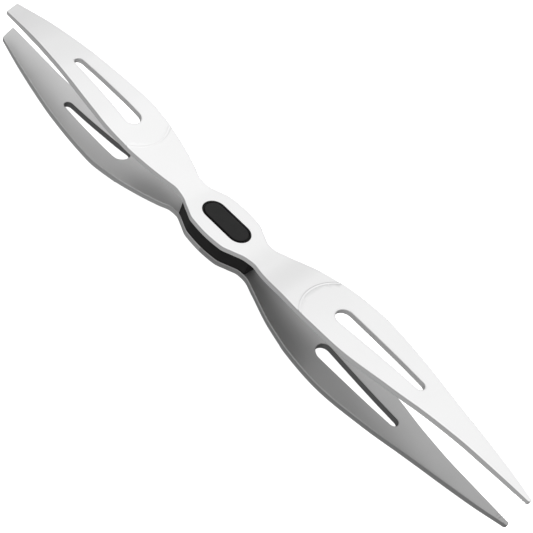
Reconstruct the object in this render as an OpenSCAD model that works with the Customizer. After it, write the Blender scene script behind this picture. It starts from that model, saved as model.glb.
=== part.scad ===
// Double-ended tweezers: two long sprung steel blades on a black core at the waist.
// One end closes to a sharp point, the other to a slanted flat edge.
// X runs along the tool with the point at +X, Y runs across the blades, and Z is up.
// The origin is under the middle of the tool, on the surface that its pads rest on.
// The two blades are mirror images about the middle plane, which lies at height pad_rise.

/* [Length] */
// From the middle of the waist to the sharp tips
point_len = 78.4; // [66:0.1:90]
// From the middle of the waist to the long corner of the slanted tips
flat_len = 71.6; // [62:0.1:84]

/* [Steel] */
// Thickness of the blades
blade_t = 1.4; // [1.1:0.1:1.6]
// Thickness that the slanted tips are ground down to
flat_tip_t = 0.8; // [0.6:0.1:1]
// Thickness that the sharp tips are ground down to
point_tip_t = 1.1; // [0.8:0.1:1.3]
// How much lower the outer face is ground at the waist and necks than at the pads
relief = 0.1; // [0.05:0.05:0.2]

/* [Waist] */
// Greatest width of the waist
waist_w = 12.1; // [11:0.1:14]
// Thickness of the waist over both blades
waist_h = 5.7; // [5.2:0.1:6.2]
// Width of the necks on both sides of the waist
neck_w = 6.6; // [6:0.1:8]
// Place of the neck on the pointed side
point_neck_x = 10.6; // [10.2:0.1:11]
// Place of the neck on the slanted side
flat_neck_x = 11.5; // [11:0.1:12.5]
// Length of the obround window in each blade
window_len = 12.2; // [9:0.1:13]
// Width of the obround window
window_w = 5.3; // [4:0.1:6]

/* [Pads] */
// Width of the finger pads on the pointed side
point_pad_w = 14.1; // [12:0.1:16]
// Width of the finger pads on the slanted side
flat_pad_w = 13.4; // [12:0.1:16]
// Height of the pads' outer faces over the middle plane
pad_rise = 7; // [6:0.1:8]
// Width of the tapered slots at the waist side
slot_wide = 3.9; // [3:0.1:4.5]
// Width of the tapered slots at the tip side
slot_narrow = 2; // [1.5:0.1:2.5]

/* [Tips] */
// Width of the sharp tips
point_w = 0.9; // [0.6:0.1:1.5]
// Width of the slanted tips
flat_w = 4; // [3.5:0.1:5]
// How far the slanted tips stand off the tool's axis, towards their long corner
flat_sway = 1.2; // [0:0.1:1.5]
// How far the slanted edge falls back across the blade
slant = 1.7; // [0:0.1:2.5]
// Height of the sharp tips' outer faces over the middle plane
point_rise = 4.9; // [4.5:0.1:5.5]
// Height of the slanted tips' outer faces over the middle plane
flat_rise = 3.7; // [3.5:0.1:4.5]
// Depth of the grip grooves inside the sharp tips
groove_depth = 0.15; // [0.1:0.05:0.2]

/* [Hidden] */
$fn = 64;
step = 1.5;
far = 40;

// The full thickness of the steel starts this high, and the relief is ground into it.
full_waist_h = waist_h + 2 * relief;

// The waist's middle stands off the tool's middle, because the two ends differ in length.
waist_x = (flat_len - point_len) / 2;

// The core fills the waist between the blades and stops short of the necks.
core_point_x = point_neck_x - 0.6;
core_flat_x = flat_neck_x - 2.3;
core_inset = 0.15;
bond = 0.03;

// Each blade bends at its two necks, where a round knuckle sits in a round seat.
point_root = point_neck_x + 0.8;
flat_root = flat_neck_x;
knuckle_r = 0.42 * (blade_t - relief);
seat_gap = 0.03;
root_slit = 0.12;

// The plugs fill the windows, and their stems meet inside the core.
plug_gap = 0.03;
stem_len = 0.72 * window_len;
stem_w = 0.6 * window_w;
rim_w = 0.45;
rim_drop = 0.15;

// The crest of each pad is dressed flat by this much, so the tool stands still.
dressed = 0.03;

// The relief ends in an arc round each pad, from this far out on the axis.
point_arc = [31.8, 9.2];
flat_arc = [31.4, 9.2];

// The tips are ground thin over this length.
grind_len = 12;

// The slanted arms run straight this far from the waist's middle, and then lean to one side.
sway_start = 36;

groove_count = 4;
groove_pitch = 0.6;

// Where the slots' end circles lie, as shares of the arm's length.
point_slot = [0.402, 0.643];
flat_slot = [0.42, 0.664];

// Shape of the plan: [share of the way from pad to tip, share of the width left].
point_taper = [[0.3, 0.74], [0.47, 0.515], [0.64, 0.33], [0.84, 0.155]];
flat_taper = [[0.12, 0.915], [0.3, 0.735], [0.47, 0.565], [0.64, 0.385], [0.83, 0.187]];

// Shared shape of the plan: [share of the way from neck to pad, share of the pad's extra width].
pad_swell = [[0.12, 0.1], [0.26, 0.215], [0.44, 0.335], [0.7, 0.457]];

// Shared shape of the waist's outline: [share of the way to the neck, share of the waist's width].
waist_curve = [[0, 0.5], [0.37, 0.472], [0.62, 0.373], [0.84, 0.285]];

// Shape of the side: [share of the way from neck to pad crest, share of the height gained].
point_climb = [[0.13, 0.15], [0.32, 0.58], [0.6, 0.88]];
flat_climb = [[0.18, 0.26], [0.48, 0.66], [0.7, 0.91]];

// Shape of the side: [share of the way from pad crest to tip, share of the drop left].
point_drop = [[0.42, 0.86], [0.73, 0.5]];
flat_drop = [[0.385, 0.82], [0.577, 0.627], [0.73, 0.415], [0.865, 0.203]];

// Half the blade's width at stations from the waist's middle to the tip.
function plan_stations(len, neck_x, pad_x, pad_w, tip_w, taper) = [
    for (s = waist_curve) [s[0] * neck_x, s[1] * waist_w],
    [neck_x, neck_w / 2],
    for (s = pad_swell) [neck_x + s[0] * (pad_x - neck_x), neck_w / 2 + s[1] * (pad_w - neck_w)],
    [pad_x, pad_w / 2],
    for (s = taper) [pad_x + s[0] * (len - pad_x), tip_w / 2 + s[1] * (pad_w - tip_w) / 2],
    [len, tip_w / 2]
];

// Height of the outer face at stations from the waist's middle to the tip.
function rise_stations(len, root_x, crest_x, tip_rise, climb, drop) = [
    [0, full_waist_h / 2],
    [root_x, full_waist_h / 2],
    for (s = climb) [root_x + s[0] * (crest_x - root_x), (1 - s[1]) * full_waist_h / 2 + s[1] * pad_rise],
    [crest_x, pad_rise + dressed],
    for (s = drop) [crest_x + s[0] * (len - crest_x), tip_rise + s[1] * (pad_rise - tip_rise)],
    [len, tip_rise]
];

point_plan = plan_stations(point_len, point_neck_x, 0.44 * point_len, point_pad_w, point_w, point_taper);
flat_plan = plan_stations(flat_len, flat_neck_x, 0.43 * flat_len, flat_pad_w, flat_w, flat_taper);
point_side = rise_stations(point_len, 8, 0.63 * point_len, point_rise, point_climb, point_drop);
flat_side = rise_stations(flat_len, 7.5, 0.64 * flat_len, flat_rise, flat_climb, flat_drop);

// A smooth curve through stations, which never swings past them.
function chord(s, i) = (s[i + 1][1] - s[i][1]) / (s[i + 1][0] - s[i][0]);
function blend(a, b) = a * b <= 0 ? 0 : 2 * a * b / (a + b);
function slope(s, i) = i == 0 ? 0 : i == len(s) - 1 ? chord(s, i - 1) : blend(chord(s, i - 1), chord(s, i));
function span(s, x, i = 0) = i >= len(s) - 2 || x <= s[i + 1][0] ? i : span(s, x, i + 1);
function ease(s, i, gap, u) =
    s[i][1] * (1 + 2 * u) * (1 - u) * (1 - u) + slope(s, i) * gap * u * (1 - u) * (1 - u)
    + s[i + 1][1] * (3 - 2 * u) * u * u - slope(s, i + 1) * gap * u * u * (1 - u);
function curve_in(s, x, i) = ease(s, i, s[i + 1][0] - s[i][0], (x - s[i][0]) / (s[i + 1][0] - s[i][0]));
function curve(s, x) = curve_in(s, x, span(s, x));

function half_width(x) = x < 0 ? curve(flat_plan, -x) : curve(point_plan, x);
function outer_z(x) = min(pad_rise, x < 0 ? curve(flat_side, -x) : curve(point_side, x));
function ground(tip_t, to_tip) = (blade_t - tip_t) * max(0, 1 - to_tip / grind_len);
function thickness(x) = blade_t - ground(flat_tip_t, flat_len + x) - ground(point_tip_t, point_len - x);
function inner_z(x) = outer_z(x) - thickness(x);
function neck_z(x) = outer_z(x) - (blade_t + relief) / 2;

// How far the middle of the blade's width stands off the tool's axis.
function lean_share(x) = max(0, -x - sway_start) / (flat_len - sway_start);
function sway(x) = flat_sway * lean_share(x) * lean_share(x) * (2 - lean_share(x));

// The ends x0 and x1 and every whole step between them, so that all pieces share their stations.
function stations(x0, x1) = [x0, for (i = [floor(x0 / step) + 1 : ceil(x1 / step) - 1]) i * step, x1];

// Everything below is drawn about the waist's middle, and this puts it in the tool's frame.
module placed() {
    translate([waist_x, 0, pad_rise]) children();
}

module plan_prism(x0, x1, inset = 0) {
    near_x0 = max(x0, slant - flat_len);
    translate([0, 0, -far / 2])
        linear_extrude(far)
            polygon(concat(
                [for (x = stations(x0, x1)) [x, sway(x) + half_width(x) - inset]],
                [for (x = stations(-x1, -near_x0)) [-x, sway(-x) - half_width(-x) + inset]]
            ));
}

// The solid between the heights low(x) and high(x), seen from the side.
module side_prism(x0, x1, low, high) {
    rotate([90, 0, 0])
        linear_extrude(far, center = true)
            polygon(concat(
                [for (x = stations(x0, x1)) [x, high(x)]],
                [for (x = stations(-x1, -x0)) [-x, low(-x)]]
            ));
}

module blade(x0, x1) {
    intersection() {
        plan_prism(x0, x1);
        side_prism(x0, x1, function(x) inner_z(x), function(x) outer_z(x));
    }
}

// What the grinder takes off the outer face between x0 and x1, as far as the arc round a pad.
module ground_off(x0, x1, arc) {
    difference() {
        side_prism(x0, x1, function(x) outer_z(x) - relief, function(x) pad_rise + 1);
        translate([arc[0], 0, 0]) cylinder(r = arc[1], h = far);
    }
}

// A round bar across the blade on the bending axis at a neck.
module neck_bar(x, r, width) {
    translate([x, 0, neck_z(x)])
        rotate([90, 0, 0])
            cylinder(r = r, h = width, center = true);
}

module obround(len, width, z0, z1) {
    reach = (len - width) / 2;
    translate([0, 0, z0]) {
        for (x = [-reach, reach])
            translate([x, 0, 0]) cylinder(d = width, h = z1 - z0);
        translate([-reach, -width / 2, 0]) cube([2 * reach, width, z1 - z0]);
    }
}

// A slot between two circles of different size, with straight tangent sides, that follows the lean.
module tapered_slot(x_wide, x_narrow) {
    run = x_narrow - x_wide;
    side = run > 0 ? 1 : -1;
    lean = asin((slot_wide - slot_narrow) / 2 / abs(run));
    ends = [[0, slot_wide / 2], [run, slot_narrow / 2]];
    translate([x_wide, 0, -far / 2])
        rotate([0, 0, asin(sway(x_narrow) / run)]) {
            for (e = ends)
                translate([e[0], 0, 0]) cylinder(r = e[1], h = far);
            linear_extrude(far)
                polygon([for (k = [[0, 1], [1, 1], [1, -1], [0, -1]])
                    [ends[k[0]][0] + side * ends[k[0]][1] * sin(lean), k[1] * ends[k[0]][1] * cos(lean)]]);
        }
}

// V grooves across the inner face of a sharp tip, cut by a square bar on edge.
module grip_grooves() {
    bar = groove_depth * sqrt(2);
    for (i = [1 : groove_count]) {
        x = point_len - (i + 0.4) * groove_pitch;
        translate([x, 0, inner_z(x)])
            rotate([0, 45, 0])
                cube([bar, 4 * point_w, bar], center = true);
    }
}

// The pointed arm's full blade, with a sharp tip that is round in plan.
module point_blade() {
    nose_x = point_len - point_w / 2;
    intersection() {
        union() {
            plan_prism(point_root, nose_x);
            translate([nose_x, 0, 0]) cylinder(d = point_w, h = far);
        }
        side_prism(point_root, point_len, function(x) inner_z(x), function(x) outer_z(x));
    }
}

module point_arm() {
    color("gainsboro") difference() {
        union() {
            point_blade();
            neck_bar(point_root, knuckle_r, neck_w);
        }
        ground_off(point_root - 1, point_arc[0], point_arc);
        tapered_slot(point_slot[0] * point_len, point_slot[1] * point_len);
        grip_grooves();
    }
}

module flat_arm() {
    color("gainsboro") difference() {
        union() {
            blade(-flat_len, -flat_root);
            neck_bar(-flat_root, knuckle_r, neck_w);
        }
        ground_off(-flat_arc[0], 1 - flat_root, [-flat_arc[0], flat_arc[1]]);
        tapered_slot(-flat_slot[0] * flat_len, -flat_slot[1] * flat_len);
    }
}

module blade_waist() {
    color("silver") difference() {
        blade(root_slit - flat_root, point_root - root_slit);
        ground_off(-flat_root, point_root, [far, 1]);
        obround(window_len, window_w, 0, far);
        for (x = [-flat_root, point_root])
            neck_bar(x, knuckle_r + seat_gap, far);
    }
}

// A button that fills the window, with a stepped rim, on a stem that goes down into the core.
module plug() {
    top = waist_h / 2;
    bed = top - blade_t + relief + bond;
    color("#222222") {
        obround(window_len - 2 * plug_gap, window_w - 2 * plug_gap, bed, top - rim_drop);
        obround(window_len - 2 * rim_w, window_w - 2 * rim_w, bed, top);
        obround(stem_len, stem_w, 0, bed + blade_t / 2);
    }
}

module core_piece() {
    color("#1a1a1a") difference() {
        intersection() {
            plan_prism(-core_flat_x, core_point_x, core_inset);
            side_prism(
                -core_flat_x, core_point_x, function(x) bond - inner_z(x), function(x) inner_z(x) - bond
            );
        }
        obround(stem_len + 2 * plug_gap, stem_w + 2 * plug_gap, -far / 2, far / 2);
    }
}

module core() { placed() core_piece(); }
module upper_plug() { placed() plug(); }
module lower_plug() { placed() mirror([0, 0, 1]) plug(); }
module upper_blade_waist() { placed() blade_waist(); }
module lower_blade_waist() { placed() mirror([0, 0, 1]) blade_waist(); }
module upper_point_arm() { placed() point_arm(); }
module lower_point_arm() { placed() mirror([0, 0, 1]) point_arm(); }
module upper_flat_arm() { placed() flat_arm(); }
module lower_flat_arm() { placed() mirror([0, 0, 1]) flat_arm(); }

core();
upper_plug();
lower_plug();
upper_blade_waist();
lower_blade_waist();
upper_point_arm();
lower_point_arm();
upper_flat_arm();
lower_flat_arm();
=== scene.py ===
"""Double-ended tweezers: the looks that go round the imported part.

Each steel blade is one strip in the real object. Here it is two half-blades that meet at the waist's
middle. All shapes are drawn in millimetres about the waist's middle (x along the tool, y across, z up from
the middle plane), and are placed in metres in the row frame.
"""

import math

import bpy
import numpy as np
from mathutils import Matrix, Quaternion, Vector
from mathutils.geometry import delaunay_2d_cdt


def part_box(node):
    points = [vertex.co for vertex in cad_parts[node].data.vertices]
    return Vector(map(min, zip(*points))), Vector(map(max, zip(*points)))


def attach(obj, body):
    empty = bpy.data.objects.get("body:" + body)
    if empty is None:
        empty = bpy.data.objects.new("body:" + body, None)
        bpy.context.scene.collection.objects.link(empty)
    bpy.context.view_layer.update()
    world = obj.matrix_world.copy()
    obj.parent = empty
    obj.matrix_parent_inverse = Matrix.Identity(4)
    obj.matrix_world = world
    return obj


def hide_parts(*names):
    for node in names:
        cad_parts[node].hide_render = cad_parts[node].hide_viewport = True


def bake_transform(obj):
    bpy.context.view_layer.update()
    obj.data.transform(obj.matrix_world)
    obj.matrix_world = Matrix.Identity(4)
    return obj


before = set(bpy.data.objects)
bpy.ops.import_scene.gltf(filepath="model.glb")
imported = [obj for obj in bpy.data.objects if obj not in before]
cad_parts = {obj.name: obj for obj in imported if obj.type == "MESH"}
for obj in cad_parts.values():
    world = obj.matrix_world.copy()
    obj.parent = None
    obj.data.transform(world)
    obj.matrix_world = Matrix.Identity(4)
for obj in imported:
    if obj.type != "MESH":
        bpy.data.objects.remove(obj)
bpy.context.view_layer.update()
MM = 0.001

# ---------------------------------------------------------------- sizes, the same as in part.scad

POINT_LEN = 78.4
FLAT_LEN = 71.6
BLADE_T = 1.4
FLAT_TIP_T = 0.8
POINT_TIP_T = 1.1
RELIEF = 0.1
WAIST_W = 12.1
WAIST_H = 5.7
NECK_W = 6.6
POINT_NECK_X = 10.6
FLAT_NECK_X = 11.5
WINDOW_LEN = 12.2
WINDOW_W = 5.3
POINT_PAD_W = 14.1
FLAT_PAD_W = 13.4
PAD_RISE = 7.0
SLOT_WIDE = 3.9
SLOT_NARROW = 2.0
SLOT_R = (SLOT_WIDE / 2, SLOT_NARROW / 2)
POINT_W = 0.9
FLAT_W = 4.0
FLAT_SWAY = 1.2
SWAY_START = 36.0
SLANT = 1.7
POINT_RISE = 4.9
FLAT_RISE = 3.7
FULL_WAIST_H = WAIST_H + 2 * RELIEF
WINDOW_R = WINDOW_W / 2
WINDOW_REACH = (WINDOW_LEN - WINDOW_W) / 2
POINT_ROOT = POINT_NECK_X + 0.8
FLAT_ROOT = FLAT_NECK_X
CORE_POINT_X = POINT_NECK_X - 0.6
CORE_FLAT_X = FLAT_NECK_X - 2.3
CORE_INSET = 0.15
BOND = 0.03
PLUG_GAP = 0.03
DRESSED = 0.03
GRIND_LEN = 12.0
GROOVE_COUNT = 4
GROOVE_PITCH = 0.6
GROOVE_DEPTH = 0.15
GROOVES = [POINT_LEN - (i + 0.4) * GROOVE_PITCH for i in range(1, GROOVE_COUNT + 1)]

# Places along a half-blade, from the waist's middle: where it is widest, where it starts to rise and where
# it is highest, the ends of its slot, and the arc that bounds the pad, as its centre and its radius.
POINT_PAD_X = 0.44 * POINT_LEN
FLAT_PAD_X = 0.43 * FLAT_LEN
POINT_CLIMB_X = 8
FLAT_CLIMB_X = 7.5
POINT_CREST_X = 0.63 * POINT_LEN
FLAT_CREST_X = 0.64 * FLAT_LEN
POINT_SLOT = (0.402 * POINT_LEN, 0.643 * POINT_LEN)
FLAT_SLOT = (0.42 * FLAT_LEN, 0.664 * FLAT_LEN)
POINT_ARC = (31.8, 9.2)
FLAT_ARC = (31.4, 9.2)

# Stations of the outline and of the side view, as shares of each stretch's length and of its change.
WAIST_CURVE = [(0, 0.5), (0.37, 0.472), (0.62, 0.373), (0.84, 0.285)]
PAD_SWELL = [(0.12, 0.1), (0.26, 0.215), (0.44, 0.335), (0.7, 0.457)]
POINT_TAPER = [(0.3, 0.74), (0.47, 0.515), (0.64, 0.33), (0.84, 0.155)]
FLAT_TAPER = [(0.12, 0.915), (0.3, 0.735), (0.47, 0.565), (0.64, 0.385), (0.83, 0.187)]
POINT_CLIMB = [(0.13, 0.15), (0.32, 0.58), (0.6, 0.88)]
FLAT_CLIMB = [(0.18, 0.26), (0.48, 0.66), (0.7, 0.91)]
POINT_DROP = [(0.42, 0.86), (0.73, 0.5)]
FLAT_DROP = [(0.385, 0.82), (0.577, 0.627), (0.73, 0.415), (0.865, 0.203)]

# ---------------------------------------------------------------- details that only the looks have

# The step down along a pad's arc, and the fine line scribed beside it.
RAMP_W = 0.3
SCRIBE_GAP = 0.25
SCRIBE_W = 0.1
SCRIBE_DEPTH = 0.05

# Rounded edges and corners. An arm's edges turn from EDGE_R to TIP_EDGE_R over a run that starts some way
# before the tip, and the arc of the sharp tip's nose stops short of the sides by a lean.
EDGE_R = 0.3
TIP_EDGE_R = 0.2
TIP_EDGE_START = 18
TIP_EDGE_RUN = 12
WINDOW_EDGE_R = 0.15
FAR_CORNER_R = 0.42
CORE_EDGE_R = 0.15
CORE_CORNER_R = 0.35
NOSE_LEAN = math.atan(0.16)

# Mesh density: the flat strip beside a rounded edge, the faces round an edge, and the spacing of points.
SUPPORT = 0.06
ARC_STEPS = 5
STEP = 1.1
FINE = 0.25
WAIST_STEP = 0.5
BOW_STEP = 0.3
TIP_STEP = 0.12
SLOT_STEP = 0.2
CORE_STEP = 1.5
PLUG_STEP = 0.6

# How far a face's inner points stay from its borders: the cut at the waist's middle, the outline, the nose,
# the slanted edge, the holes, the arc's ramp and the core's outline.
CUT_CLEAR = 0.3
RIM_CLEAR = 0.55
NOSE_CLEAR = 0.9
SLANT_CLEAR = 0.6
HOLE_CLEAR = 0.4
ARC_CLEAR = 0.45
CORE_CLEAR = 0.6

# The button's profile from the foot up: the inset from the window's wall, the drop below the top of the
# waist, and the normal's angle above the horizontal. A low ledge comes first, then the shoulder and the top.
PLUG_PROFILE = [
    (PLUG_GAP, BLADE_T - RELIEF - BOND, 0.0), (PLUG_GAP, 0.52, 0.0), (0.09, 0.45, 0.8), (0.34, 0.43, 1.2),
    (0.42, 0.40, 0.9), (0.45, 0.33, 0.1), (0.47, 0.17, 0.15), (0.51, 0.11, 0.5), (0.57, 0.07, 0.9),
    (0.66, 0.05, 1.4), (0.9, 0.05, math.pi / 2)]

# Finishes of a blade, as places in its material slots: polished outside, dull inside with a darker colour
# that is painted shade between the blades, and cut in its slots, painted darker as shade on the lower blade.
POLISHED, DULL_AND_SHADED, CUT_AND_SHADED = 0, 1, 2

# The two blades: which way up, the radius of the slanted tip's short corner, the radius of the slots' edges,
# and the finish of the rim, which on the lower blade is the darker steel that paints shade on its outer wall.
BLADES = [("upper", 1, 0.42, 0.3, POLISHED), ("lower", -1, 1.3, 0.08, DULL_AND_SHADED)]

# Heights of the fine grain of the surfaces, in metres.
SATIN_GRAIN = 0.0000012
DULL_GRAIN = 0.0000015
BLACK_GRAIN = 0.000006

# Brightness of the studio by the sine of the elevation, in front of the object and behind it, and the
# stretch of the horizontal direction across which the one turns into the other.
NEAR_SKY = [(-1.0, 0.4), (-0.25, 0.4), (-0.05, 0.2), (0.45, 0.25), (0.75, 1.0), (1.0, 1.22)]
FAR_SKY = [(-1.0, 0.2), (-0.1, 0.2), (0.0, 0.45), (0.35, 0.74), (0.6, 0.97), (1.0, 1.2)]
SKY_TURN = (-0.35, 0.15)
FLOOR_SIZE = 60
FLOOR_GLOW = 0.9

# The camera, in metres, with its roll in degrees.
CAMERA_AT = (0.0724, -0.137, 0.16021)
CAMERA_LOOK = Vector((-0.2971, 0.6395, -0.709))
CAMERA_ROLL = 25.55
CAMERA_LENS = 73.4

# The waist's middle in the row frame, from the CAD boxes.
upper_plug_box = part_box("upper_plug")
lower_plug_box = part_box("lower_plug")
WAIST = (upper_plug_box[0] + upper_plug_box[1] + lower_plug_box[0] + lower_plug_box[1]) / 4


# ---------------------------------------------------------------- the blade's shape

def plan_stations(length, neck_x, pad_x, pad_w, tip_w, taper):
    """Half the outline's width at places from the waist's middle to the tip."""
    tip_taper = taper + [(1, 0)]
    return ([(a * neck_x, b * WAIST_W) for a, b in WAIST_CURVE] + [(neck_x, NECK_W / 2)]
            + [(neck_x + a * (pad_x - neck_x), NECK_W / 2 + b * (pad_w - NECK_W)) for a, b in PAD_SWELL]
            + [(pad_x, pad_w / 2)]
            + [(pad_x + a * (length - pad_x), (tip_w + b * (pad_w - tip_w)) / 2) for a, b in tip_taper])


def rise_stations(length, root_x, crest_x, tip_rise, climb, drop):
    """The outer face's height above the middle plane at places from the waist's middle to the tip."""
    tip_drop = drop + [(1, 0)]
    return ([(0, FULL_WAIST_H / 2), (root_x, FULL_WAIST_H / 2)]
            + [(root_x + a * (crest_x - root_x), (1 - b) * FULL_WAIST_H / 2 + b * PAD_RISE) for a, b in climb]
            + [(crest_x, PAD_RISE + DRESSED)]
            + [(crest_x + a * (length - crest_x), tip_rise + b * (PAD_RISE - tip_rise)) for a, b in tip_drop])


def curve(stations, x):
    """A smooth curve through stations, which never swings past them."""
    def chord(i):
        return (stations[i + 1][1] - stations[i][1]) / (stations[i + 1][0] - stations[i][0])

    def slope(i):
        if i == 0:
            return 0.0
        if i == len(stations) - 1:
            return chord(i - 1)
        a, b = chord(i - 1), chord(i)
        return 0.0 if a * b <= 0 else 2 * a * b / (a + b)

    i = 0
    while i < len(stations) - 2 and x > stations[i + 1][0]:
        i += 1
    (x0, a), (x1, b) = stations[i], stations[i + 1]
    gap, u = x1 - x0, (x - x0) / (x1 - x0)
    return (a * (1 + 2 * u) * (1 - u) ** 2 + slope(i) * gap * u * (1 - u) ** 2
            + b * (3 - 2 * u) * u * u - slope(i + 1) * gap * u * u * (1 - u))


def smoothstep(t):
    """A smooth rise from 0 to 1 as t goes from 0 to 1."""
    t = min(1.0, max(0.0, t))
    return t * t * (3 - 2 * t)


class Half:
    """One end of a blade, with u measured outwards from the waist's middle."""

    def __init__(self, pointed):
        self.pointed = pointed
        self.side = 1 if pointed else -1
        self.length = POINT_LEN if pointed else FLAT_LEN
        self.tip_t = POINT_TIP_T if pointed else FLAT_TIP_T
        self.slot = POINT_SLOT if pointed else FLAT_SLOT
        self.arc = POINT_ARC if pointed else FLAT_ARC
        self.root = POINT_ROOT if pointed else FLAT_ROOT
        if pointed:
            self.plan = plan_stations(POINT_LEN, POINT_NECK_X, POINT_PAD_X, POINT_PAD_W, POINT_W, POINT_TAPER)
            self.rise = rise_stations(
                POINT_LEN, POINT_CLIMB_X, POINT_CREST_X, POINT_RISE, POINT_CLIMB, POINT_DROP)
        else:
            self.plan = plan_stations(FLAT_LEN, FLAT_NECK_X, FLAT_PAD_X, FLAT_PAD_W, FLAT_W, FLAT_TAPER)
            self.rise = rise_stations(FLAT_LEN, FLAT_CLIMB_X, FLAT_CREST_X, FLAT_RISE, FLAT_CLIMB, FLAT_DROP)

    def half_width(self, u):
        return curve(self.plan, u)

    def face(self, u):
        """Height of the outer face, with the crest dressed flat and the relief left out."""
        return min(PAD_RISE, curve(self.rise, u))

    def thickness(self, u):
        """The strip's thickness, which is ground down towards the tip."""
        return BLADE_T - (BLADE_T - self.tip_t) * max(0.0, 1 - (self.length - u) / GRIND_LEN)

    def sway(self, u):
        """How far the middle of the width stands off the axis: only the slanted arms lean."""
        if self.pointed:
            return 0.0
        share = max(0.0, u - SWAY_START) / (self.length - SWAY_START)
        return FLAT_SWAY * share * share * (2 - share)

    def low_side(self, u):
        return (u, self.sway(u) - self.half_width(u))

    def high_side(self, u):
        return (u, self.sway(u) + self.half_width(u))

    def slot_turn(self):
        """Angle of the slot to the axis, so that it follows the lean."""
        return math.asin(self.sway(self.slot[1]) / (self.slot[1] - self.slot[0]))

    def relief(self, u, y):
        """Share of the relief at a point: 1 at the waist, 0 on the pad, with a narrow ramp along the arc."""
        centre, radius = self.arc
        if u >= centre:
            return 0.0
        return smoothstep((math.hypot(u - centre, y) - radius) / RAMP_W)

    def edge_radius(self, u):
        """Rounding of the outline's edges, finer towards the tip."""
        share = smoothstep((u - self.length + TIP_EDGE_START) / TIP_EDGE_RUN)
        return EDGE_R + (TIP_EDGE_R - EDGE_R) * share

    def groove(self, u):
        """Depth of the grip grooves in the inner face of a sharp tip."""
        if not self.pointed:
            return 0.0
        return max([0.0] + [GROOVE_DEPTH - abs(u - middle) for middle in GROOVES])

    def scribed(self, u, y):
        """Depth of the fine line that runs along the arc."""
        centre, radius = self.arc
        if u >= centre:
            return 0.0
        off = abs(math.hypot(u - centre, y) - radius + SCRIBE_GAP)
        return SCRIBE_DEPTH * max(0.0, 1 - off / SCRIBE_W)

    def outer(self, u, y):
        return self.face(u) - RELIEF * self.relief(u, y) - self.scribed(u, y)

    def inner(self, u, y):
        return self.face(u) - self.thickness(u) + self.groove(u)


# ---------------------------------------------------------------- mesh building

class Shell:
    """A closed mesh with a smooth normal of its own at every vertex."""

    def __init__(self):
        self.points = []
        self.normals = []
        self.faces = []
        self.finish = []
        self.flats = set()

    def add(self, point, normal):
        """A new vertex, by its number."""
        self.points.append(tuple(point))
        self.normals.append(tuple(normal))
        return len(self.points) - 1

    def face(self, indices, flat=False, finish=POLISHED):
        """A face between vertices, with its own normal where it is flat."""
        if flat:
            self.flats.add(len(self.faces))
        self.faces.append(tuple(indices))
        self.finish.append(finish)

    def bridge(self, a, b, closed, finish=POLISHED):
        """Quads between two rings of equal length. Ring a is walked with the material at its left."""
        count = len(a)
        for i in range(count if closed else count - 1):
            j = (i + 1) % count
            self.face((a[i], b[i], b[j], a[j]), finish=finish)

    def build(self, name, mirror=(1, 1, 1)):
        """The object in the row frame, with its shape mirrored as asked."""
        flip = mirror[0] * mirror[1] * mirror[2] < 0
        points = np.array(self.points, float) * np.array(mirror, float)
        normals = np.array(self.normals, float) * np.array(mirror, float)
        normals /= np.linalg.norm(normals, axis=1)[:, None]
        faces = [f[::-1] for f in self.faces] if flip else self.faces
        mesh = bpy.data.meshes.new(name)
        mesh.from_pydata([Vector(p) * MM + WAIST for p in points], [], faces)
        mesh.update()
        mesh.shade_smooth()
        for polygon, finish in zip(mesh.polygons, self.finish):
            polygon.material_index = finish
        loops = []
        for polygon in mesh.polygons:
            flat = polygon.index in self.flats
            for v in polygon.vertices:
                loops.append(tuple(polygon.normal) if flat else tuple(normals[v]))
        mesh.normals_split_custom_set(loops)
        obj = bpy.data.objects.new(name, mesh)
        bpy.context.scene.collection.objects.link(obj)
        return obj


def out_normals(loop, closed):
    """Unit normals in plan that point out of the material, for a loop with the material at its left."""
    normals = []
    for i in range(len(loop)):
        a = loop[i - 1] if closed or i > 0 else loop[i]
        b = loop[(i + 1) % len(loop)] if closed or i < len(loop) - 1 else loop[i]
        along = (b[0] - a[0], b[1] - a[1])
        size = math.hypot(*along)
        normals.append((along[1] / size, -along[0] / size))
    if not closed:
        for i in (0, -1):
            normals[i] = (0.0, math.copysign(1.0, normals[i][1]))
    return normals


def surface_normal(height, x, y, up):
    """Unit normal of the surface z = height(x, y)."""
    h = 0.02  # small against every curve of the shape
    dx = (height(x + h, y) - height(x - h, y)) / (2 * h)
    dy = (height(x, y + h) - height(x, y - h)) / (2 * h)
    return Vector((-dx, -dy, 1)).normalized() * up


def add_rings(shell, loop, closed, top, bottom, radius, finish=POLISHED):
    """Rings from the flat of the top, round both rounded edges, to the flat of the bottom."""
    normals = out_normals(loop, closed)
    angles = [0.0] + [math.pi / 2 * k / ARC_STEPS for k in range(ARC_STEPS + 1)]
    spec = [(a, SUPPORT * (k == 0), True) for k, a in enumerate(angles)]
    spec += [(a, more, False) for a, more, _ in reversed(spec)]
    rings = []
    for angle, more, is_top in spec:
        ring = []
        for p, n in zip(loop, normals):
            r = radius(p[0])
            d = r * (1 - math.sin(angle)) + more
            sink = r * (1 - math.cos(angle))
            x, y = p[0] - d * n[0], p[1] - d * n[1]
            height = top if is_top else bottom
            z = height(x, y) + (-sink if is_top else sink)
            face_n = surface_normal(height, x, y, 1 if is_top else -1)
            out = Vector((n[0], n[1], 0))
            ring.append(shell.add((x, y, z), math.cos(angle) * face_n + math.sin(angle) * out))
        rings.append(ring)
    for a, b in zip(rings, rings[1:]):
        shell.bridge(a, b, closed, finish)
    return rings


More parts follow.
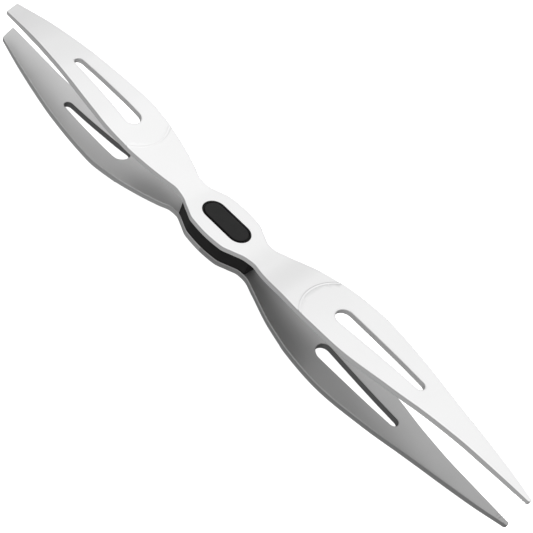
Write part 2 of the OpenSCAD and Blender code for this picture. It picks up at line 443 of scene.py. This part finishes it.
def fill(shell, outline, holes, inside, top, bottom, extra, under=POLISHED):
    """Closes the top and the bottom between the flats' rings with the same triangles.
    outline is a list of (top index, bottom index) in order, and so is each hole. extra are places for more
    points, of which inside picks those that are clear of the rings, and under is the bottom's finish."""
    pairs, edges, owner = [], [], []
    for number, loop in enumerate([outline] + holes):
        base = len(pairs)
        pairs += loop
        owner += [number] * len(loop)
        edges += [(base + i, base + (i + 1) % len(loop)) for i in range(len(loop))]
    flat = [Vector(shell.points[a][:2]) for a, _ in pairs]
    spots = [p for p in extra if inside(p[0], p[1])]
    inside_only, merge_gap = 1, 1e-7
    coords, _, faces, origin, _, _ = delaunay_2d_cdt(
        flat + [Vector(p) for p in spots], edges, [], inside_only, merge_gap)
    tops, bottoms, hole_of = {}, {}, {}
    for i, sources in enumerate(origin):
        ring = [s for s in sources if s < len(pairs)]
        x, y = coords[i]
        if ring:
            tops[i], bottoms[i] = pairs[ring[0]]
            hole_of[i] = owner[ring[0]]
        else:
            tops[i] = shell.add((x, y, top(x, y)), surface_normal(top, x, y, 1))
            bottoms[i] = shell.add((x, y, bottom(x, y)), surface_normal(bottom, x, y, -1))
    for f in faces:
        owners = {hole_of.get(i, 0) for i in f}
        if len(owners) == 1 and owners != {0}:  # inside a hole
            continue
        a, b, c = (coords[i] for i in f[:3])
        turn = (b[0] - a[0]) * (c[1] - a[1]) - (b[1] - a[1]) * (c[0] - a[0])
        order = list(f) if turn > 0 else list(f)[::-1]
        shell.face([tops[i] for i in order])
        shell.face([bottoms[i] for i in reversed(order)], finish=under)


def spread(a, b, step):
    """Values from a to b with both ends, at most step apart."""
    count = max(1, math.ceil(abs(b - a) / step - 1e-9))
    return [a + (b - a) * i / count for i in range(count + 1)]


def arc_points(centre, radius, start, end, step):
    """Points on an arc between two angles in radians."""
    count = max(3, math.ceil(abs(end - start) * radius / step))
    turns = [start + (end - start) * i / count for i in range(count + 1)]
    return [(centre[0] + radius * math.cos(t), centre[1] + radius * math.sin(t)) for t in turns]


def rounded(before, corner, after, radius, count=6):
    """The corner between two straight stretches, as an arc of that radius."""
    a = (Vector(before) - Vector(corner)).normalized()
    b = (Vector(after) - Vector(corner)).normalized()
    half = a.angle(b) / 2
    reach = radius / math.tan(half)
    centre = Vector(corner) + (a + b).normalized() * (radius / math.sin(half))
    start, end = Vector(corner) + a * reach - centre, Vector(corner) + b * reach - centre
    t0, t1 = math.atan2(start.y, start.x), math.atan2(end.y, end.x)
    if t1 - t0 > math.pi:
        t1 -= 2 * math.pi
    if t0 - t1 > math.pi:
        t1 += 2 * math.pi
    turns = [t0 + (t1 - t0) * i / count for i in range(count + 1)]
    return [(centre.x + radius * math.cos(t), centre.y + radius * math.sin(t)) for t in turns], reach


def edge_stations(half):
    """Where the outline is sampled: closer at the waist, at the ramp and at the grip grooves."""
    centre, radius = half.arc
    stops = [0.0, half.root + 6.0, centre - radius, centre, half.length - 6.0, half.length]
    steps = [WAIST_STEP, 0.8, FINE, STEP, 0.2]
    found = []
    for a, b, step in zip(stops, stops[1:], steps):
        found += spread(a, b, step)[:-1]
    return found


def pointed_outline(half):
    """Outline of the pointed half from (0, -w) round the nose to (0, w)."""
    nose = 0.4  # a first guess, which settles on the half-width at the nose's own centre
    for _ in range(4):
        nose = half.half_width(half.length - nose)
    centre = half.length - nose
    near = [(u, -half.half_width(u)) for u in edge_stations(half) if u < centre - 0.1]
    tip = arc_points((centre, 0), nose, -math.pi / 2 + NOSE_LEAN, math.pi / 2 - NOSE_LEAN, TIP_STEP)
    return near + tip + [(u, -y) for u, y in reversed(near)]


def slanted_outline(half, near_r, far_r):
    """Outline of the slanted half from (0, -w) round the slanted edge to (0, w)."""
    near_u = half.length - SLANT
    near_corner, far_corner = half.low_side(near_u), half.high_side(half.length)
    back, clear = 3, 0.05  # how far back the sides are taken as straight, and the gap before each corner
    near_arc, near_reach = rounded(half.low_side(near_u - back), near_corner, far_corner, near_r)
    far_arc, far_reach = rounded(near_corner, far_corner, half.high_side(half.length - back), far_r)
    stations = edge_stations(half)
    near = [half.low_side(u) for u in stations if u < near_u - near_reach - clear]
    far = [half.high_side(u) for u in stations if u < half.length - far_reach - clear]
    a, b = Vector(near_arc[-1]), Vector(far_arc[0])
    edge = [tuple(a.lerp(b, t)) for t in spread(0, 1, TIP_STEP)[1:-1]]
    return near + near_arc + edge + far_arc + far[::-1]


def window_arc():
    """Half the window, from (0, w) round its end to (0, -w), with the steel at the left."""
    along = spread(0, WINDOW_REACH, WAIST_STEP)[:-1]
    bow = arc_points((WINDOW_REACH, 0), WINDOW_R, math.pi / 2, -math.pi / 2, BOW_STEP)
    return [(u, WINDOW_R) for u in along] + bow + [(u, -WINDOW_R) for u in reversed(along)]


def slot_loop(half):
    """The tapered slot, walked with the steel at the left."""
    (wide, narrow), (r0, r1) = half.slot, SLOT_R
    lean = math.asin((r0 - r1) / (narrow - wide))
    wide_arc = arc_points((wide, 0), r0, -math.pi / 2 + lean, -3 * math.pi / 2 - lean, FINE)
    narrow_arc = arc_points((narrow, 0), r1, math.pi / 2 - lean, -math.pi / 2 + lean, SLOT_STEP)
    sides = []
    for a, b in ((wide_arc[-1], narrow_arc[0]), (narrow_arc[-1], wide_arc[0])):
        shares = spread(0, 1, 0.04)[1:-1]
        sides.append([tuple(Vector(a).lerp(Vector(b), t)) for t in shares])
    return [turned(p, wide, half.slot_turn()) for p in wide_arc + sides[0] + narrow_arc + sides[1]]


def turned(point, centre_u, angle):
    """A point turned in plan about a centre on the axis."""
    u, y = point[0] - centre_u, point[1]
    return (centre_u + u * math.cos(angle) - y * math.sin(angle), u * math.sin(angle) + y * math.cos(angle))


def capsule_gap(u, y, a, b, ra, rb):
    """Distance outside a slot between circles of radius ra at a and rb at b."""
    t = min(1.0, max(0.0, (u - a) / (b - a))) if b > a else 0.0
    return math.hypot(u - (a + t * (b - a)), y) - (ra + t * (rb - ra))


def lattice(half):
    """Staggered rows of points over the whole half-blade, except along the arc's ramp."""
    centre, radius = half.arc
    points = []
    for row, u in enumerate(spread(0, half.length, STEP * 0.87)):
        points += [(u, y + (STEP / 2) * (row % 2)) for y in spread(-8.8, 8.8, STEP)]
    ramp_r = radius + RAMP_W / 2
    return [p for p in points if p[0] > centre or abs(math.hypot(p[0] - centre, p[1]) - ramp_r) > ARC_CLEAR]


def arc_rows(half):
    """Rows of points down the ramp along the arc, and three across the scribed line."""
    centre, radius = half.arc
    rows = [RAMP_W * k / 4 for k in range(5)] + [-SCRIBE_GAP + k * SCRIBE_W for k in (-1, 0, 1)]
    points = []
    for row in rows:
        points += arc_points((centre, 0), radius + row, math.pi / 2 + 0.05, 3 * math.pi / 2 - 0.05, FINE)
    return points


def half_blade(pointed, near_r, slot_r, rim):
    """The upper blade's half on one side of the waist's middle, in its own outward coordinates.
    near_r rounds the slanted tip's short corner, slot_r rounds the slot's edges, and rim is the finish of
    the outer wall, which on the lower blade is the darker steel that paints shade there."""
    half = Half(pointed)
    shell = Shell()
    outline = pointed_outline(half) if pointed else slanted_outline(half, near_r, FAR_CORNER_R)
    border = add_rings(shell, outline, False, half.outer, half.inner, half.edge_radius, rim)
    window = add_rings(shell, window_arc(), False, half.outer, half.inner, lambda u: WINDOW_EDGE_R)
    slot = add_rings(shell, slot_loop(half), True, half.outer, half.inner, lambda u: slot_r, finish=CUT_AND_SHADED)
    for a, b in ((-1, 0), (0, -1)):  # the two cut ends at the waist's middle
        column = [ring[a] for ring in border] + [ring[b] for ring in reversed(window)]
        shell.face(column if a == -1 else column[::-1], flat=True)

    def inside(u, y):
        if u < CUT_CLEAR or half.half_width(min(u, half.length)) - abs(y - half.sway(u)) < RIM_CLEAR:
            return False
        if pointed and u > half.length - NOSE_CLEAR:
            return False
        if not pointed and u + SLANT * (FLAT_W / 2 + FLAT_SWAY - y) / FLAT_W > half.length - SLANT_CLEAR:
            return False
        in_slot = turned((u, y), half.slot[0], -half.slot_turn())
        return (capsule_gap(u, y, 0, WINDOW_REACH, WINDOW_R, WINDOW_R) > HOLE_CLEAR
                and capsule_gap(*in_slot, *half.slot, *SLOT_R) > HOLE_CLEAR)

    extra = lattice(half) + arc_rows(half)
    if pointed:
        for middle in GROOVES:
            rows = (middle - GROOVE_DEPTH, middle, middle + GROOVE_DEPTH)
            extra += [(u, y) for u in rows for y in (-0.5, -0.25, 0, 0.25, 0.5)]
    border_pairs = list(zip(border[0], border[-1]))
    window_pairs = list(zip(window[0], window[-1]))
    slot_pairs = list(zip(slot[0], slot[-1]))
    fill(shell, border_pairs + window_pairs, [slot_pairs], inside, half.outer, half.inner, extra, under=DULL_AND_SHADED)
    return shell, half


def core_shell():
    """The core between the blades, which follows their outline and stops at straight ends."""
    point, flat = Half(True), Half(False)

    def reach(x):
        return (point.half_width(x) if x >= 0 else flat.half_width(-x)) - CORE_INSET

    def top(x, y):
        half, u = (point, x) if x >= 0 else (flat, -x)
        return half.face(u) - half.thickness(u) - BOND

    def bottom(x, y):
        return -top(x, y)

    def inside(x, y):
        return ends[0] + CORE_CLEAR < x < ends[1] - CORE_CLEAR and abs(y) < reach(x) - CORE_CLEAR

    ends = (-CORE_FLAT_X, CORE_POINT_X)
    corner = CORE_CORNER_R
    side = spread(ends[0] + 2 * corner, ends[1] - 2 * corner, WAIST_STEP)
    low, high = [(x, -reach(x)) for x in side], [(x, reach(x)) for x in reversed(side)]
    point_end, flat_end = [(x, reach(x)) for x in reversed(ends)]
    loop = (low + rounded(low[-1], (point_end[0], -point_end[1]), point_end, corner)[0]
            + rounded((point_end[0], 0), point_end, high[0], corner)[0]
            + high + rounded(high[-1], flat_end, (flat_end[0], 0), corner)[0]
            + rounded((flat_end[0], 0), (flat_end[0], -flat_end[1]), low[0], corner)[0])
    shell = Shell()
    rings = add_rings(shell, loop, True, top, bottom, lambda x: CORE_EDGE_R)
    grid = [(x, y) for x in spread(ends[0], ends[1], CORE_STEP) for y in spread(-6, 6, CORE_STEP)]
    fill(shell, list(zip(rings[0], rings[-1])), [], inside, top, bottom, grid)
    return shell


def plug_shell():
    """The upper button that fills the window: a low ledge, a rounded shoulder and a flat top."""
    shell = Shell()
    rings = []
    straight = spread(-WINDOW_REACH, WINDOW_REACH, PLUG_STEP)[1:-1]
    for inset, drop, lift in PLUG_PROFILE:
        radius = WINDOW_R - inset
        step = 0.3 * radius / 2.6
        loop = (arc_points((WINDOW_REACH, 0), radius, -math.pi / 2, math.pi / 2, step)
                + [(x, radius) for x in reversed(straight)]
                + arc_points((-WINDOW_REACH, 0), radius, math.pi / 2, 3 * math.pi / 2, step)
                + [(x, -radius) for x in straight])
        ring = []
        for p, n in zip(loop, out_normals(loop, True)):
            normal = (n[0] * math.cos(lift), n[1] * math.cos(lift), math.sin(lift))
            ring.append(shell.add((p[0], p[1], WAIST_H / 2 - drop), normal))
        rings.append(ring)
    for a, b in zip(rings, rings[1:]):
        shell.bridge(b, a, True)
    shell.face(rings[-1])
    shell.face(rings[0][::-1], flat=True)
    return shell


# ---------------------------------------------------------------- materials

def node_material(name, colour, metallic, roughness):
    """A plain material and its shader."""
    material = bpy.data.materials.new(name)
    material.use_nodes = True
    shader = material.node_tree.nodes["Principled BSDF"]
    shader.inputs["Base Color"].default_value = (*colour, 1)
    shader.inputs["Metallic"].default_value = metallic
    shader.inputs["Roughness"].default_value = roughness
    return material, shader


def noise(material, scale, detail, stretch=(1, 1, 1)):
    """A noise texture over the object's own coordinates, scale in features per metre."""
    nodes, links = material.node_tree.nodes, material.node_tree.links
    place = nodes.new("ShaderNodeTexCoord")
    mapping = nodes.new("ShaderNodeMapping")
    mapping.inputs["Scale"].default_value = stretch
    texture = nodes.new("ShaderNodeTexNoise")
    texture.inputs["Scale"].default_value = scale
    texture.inputs["Detail"].default_value = detail
    links.new(place.outputs["Object"], mapping.inputs["Vector"])
    links.new(mapping.outputs["Vector"], texture.inputs["Vector"])
    return texture.outputs["Fac"]


def cloudy_roughness(material, shader, cloud, roughness, swing):
    """Roughness that drifts by swing either way, with the middle of the noise's range."""
    node = material.node_tree.nodes.new("ShaderNodeMapRange")
    node.inputs["From Min"].default_value = 0.3
    node.inputs["From Max"].default_value = 0.7
    node.inputs["To Min"].default_value = roughness - swing
    node.inputs["To Max"].default_value = roughness + swing
    material.node_tree.links.new(cloud, node.inputs["Value"])
    material.node_tree.links.new(node.outputs["Result"], shader.inputs["Roughness"])


def bump(material, shader, value, height):
    """A relief of that height in metres, in the shading only."""
    node = material.node_tree.nodes.new("ShaderNodeBump")
    node.inputs["Distance"].default_value = height
    node.inputs["Strength"].default_value = 1.0
    material.node_tree.links.new(value, node.inputs["Height"])
    material.node_tree.links.new(node.outputs["Normal"], shader.inputs["Normal"])


def steel_material(name, level, roughness, grain_height):
    """Steel with slow changes in gloss and a fine grain along the tool."""
    material, shader = node_material(name, (level, level, level), 1.0, roughness)
    cloudy_roughness(material, shader, noise(material, 120, 3), roughness, 0.03)
    bump(material, shader, noise(material, 3000, 1, (0.5, 1, 1)), grain_height)
    return material


def black_material(name, level, roughness):
    """Moulded black plastic with a faint grain."""
    material, shader = node_material(name, (level, level, level), 0.0, roughness)
    shader.inputs["Specular IOR Level"].default_value = 0.25
    cloudy_roughness(material, shader, noise(material, 500, 3), roughness, 0.06)
    bump(material, shader, noise(material, 4000, 2), BLACK_GRAIN)
    return material


# ---------------------------------------------------------------- pieces

satin = steel_material("satin_steel", 0.9, 0.4, SATIN_GRAIN)
# The slot walls' steel by blade: the lower blade's is painted dark as shade, and the upper's keeps near the
# steel's own tone.
cut_and_shaded = {"upper": steel_material("cut_upper_steel", 0.86, 0.5, DULL_GRAIN),
       "lower": steel_material("cut_lower_steel_painted_shade", 0.22, 0.5, DULL_GRAIN)}
# The inner faces' steel: a duller finish whose colour is darkened as painted shade between the blades, darker
# at the pointed end.
dull_and_shaded = {"point": steel_material("dull_point_steel_painted_shade", 0.43, 0.45, DULL_GRAIN),
        "flat": steel_material("dull_flat_steel_painted_shade", 0.61, 0.45, DULL_GRAIN)}
core_black = black_material("core_black", 0.004, 0.55)
plug_black = black_material("plug_black", 0.004, 0.4)


def place_blades():
    """Both blades as half-blades, each of which stands for its arm's CAD solid."""
    for level, up, near_r, slot_r, rim in BLADES:
        for pointed, end in ((True, "point"), (False, "flat")):
            shell, half = half_blade(pointed, near_r, slot_r, rim)
            piece = shell.build(f"{level}_blade_{end}_half", (half.side, 1, up))
            # The second and third steels carry painted shade: the inner faces' darker colour and, on the
            # lower blade, the slot walls' dark colour.
            for steel in (satin, dull_and_shaded[end], cut_and_shaded[level]):
                piece.data.materials.append(steel)
            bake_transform(piece)
            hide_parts(f"{level}_{end}_arm")
            if pointed:
                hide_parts(f"{level}_blade_waist")


def place_waist():
    """The core and the two buttons, which ride on the waist."""
    core = core_shell().build("core_block")
    core.data.materials.append(core_black)
    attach(core, "waist")
    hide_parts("core")
    for level, up in (("upper", 1), ("lower", -1)):
        plug = plug_shell().build(f"{level}_button", (1, 1, up))
        plug.data.materials.append(plug_black)
        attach(plug, "waist")
        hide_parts(f"{level}_plug")


place_blades()
place_waist()


# ---------------------------------------------------------------- floor, light and camera

def add_floor():
    """A plain pale floor, bright enough to look white."""
    bpy.ops.mesh.primitive_plane_add(size=FLOOR_SIZE, location=(0, 0, 0))
    floor = bpy.context.object
    floor.name = "floor"
    material, shader = node_material("floor_white", (0.9, 0.9, 0.9), 0.0, 0.9)
    shader.inputs["Emission Color"].default_value = (1, 1, 1, 1)
    shader.inputs["Emission Strength"].default_value = FLOOR_GLOW
    floor.data.materials.append(material)
    floor.visible_glossy = False


def add_world():
    """A bright studio behind and above the object, and a greyer one in front of it and below."""
    world = bpy.data.worlds.new("studio")
    bpy.context.scene.world = world
    world.use_nodes = True
    nodes, links = world.node_tree.nodes, world.node_tree.links
    place = nodes.new("ShaderNodeTexCoord")
    split = nodes.new("ShaderNodeSeparateXYZ")
    links.new(place.outputs["Generated"], split.inputs[0])
    ramps = []
    for stops in (NEAR_SKY, FAR_SKY):
        height = nodes.new("ShaderNodeMapRange")
        height.inputs["From Min"].default_value = -1
        links.new(split.outputs["Z"], height.inputs["Value"])
        ramp = nodes.new("ShaderNodeValToRGB")
        links.new(height.outputs["Result"], ramp.inputs["Fac"])
        while len(ramp.color_ramp.elements) < len(stops):
            ramp.color_ramp.elements.new(0.5)
        for element, (z, level) in zip(ramp.color_ramp.elements, stops):
            element.position = (z + 1) / 2
            element.color = (level, level, level, 1)
        ramps.append(ramp)
    side = nodes.new("ShaderNodeMapRange")
    side.inputs["From Min"].default_value = SKY_TURN[0]
    side.inputs["From Max"].default_value = SKY_TURN[1]
    side.interpolation_type = "SMOOTHSTEP"
    links.new(split.outputs["Y"], side.inputs["Value"])
    mix = nodes.new("ShaderNodeMix")
    mix.data_type = "RGBA"
    links.new(side.outputs["Result"], mix.inputs["Factor"])
    links.new(ramps[0].outputs["Color"], mix.inputs["A"])
    links.new(ramps[1].outputs["Color"], mix.inputs["B"])
    links.new(mix.outputs["Result"], nodes["Background"].inputs["Color"])


def add_camera():
    """The camera, at the angle from which the tool is drawn."""
    camera = bpy.data.objects.new("camera", bpy.data.cameras.new("camera"))
    bpy.context.scene.collection.objects.link(camera)
    camera.data.lens = CAMERA_LENS
    camera.data.clip_start = 0.01
    camera.location = CAMERA_AT
    camera.rotation_mode = "QUATERNION"
    roll = Quaternion((0, 0, 1), math.radians(CAMERA_ROLL))
    camera.rotation_quaternion = CAMERA_LOOK.to_track_quat("-Z", "Y") @ roll
    bpy.context.scene.camera = camera


add_floor()
add_world()
add_camera()
bpy.context.scene.view_settings.view_transform = "Standard"
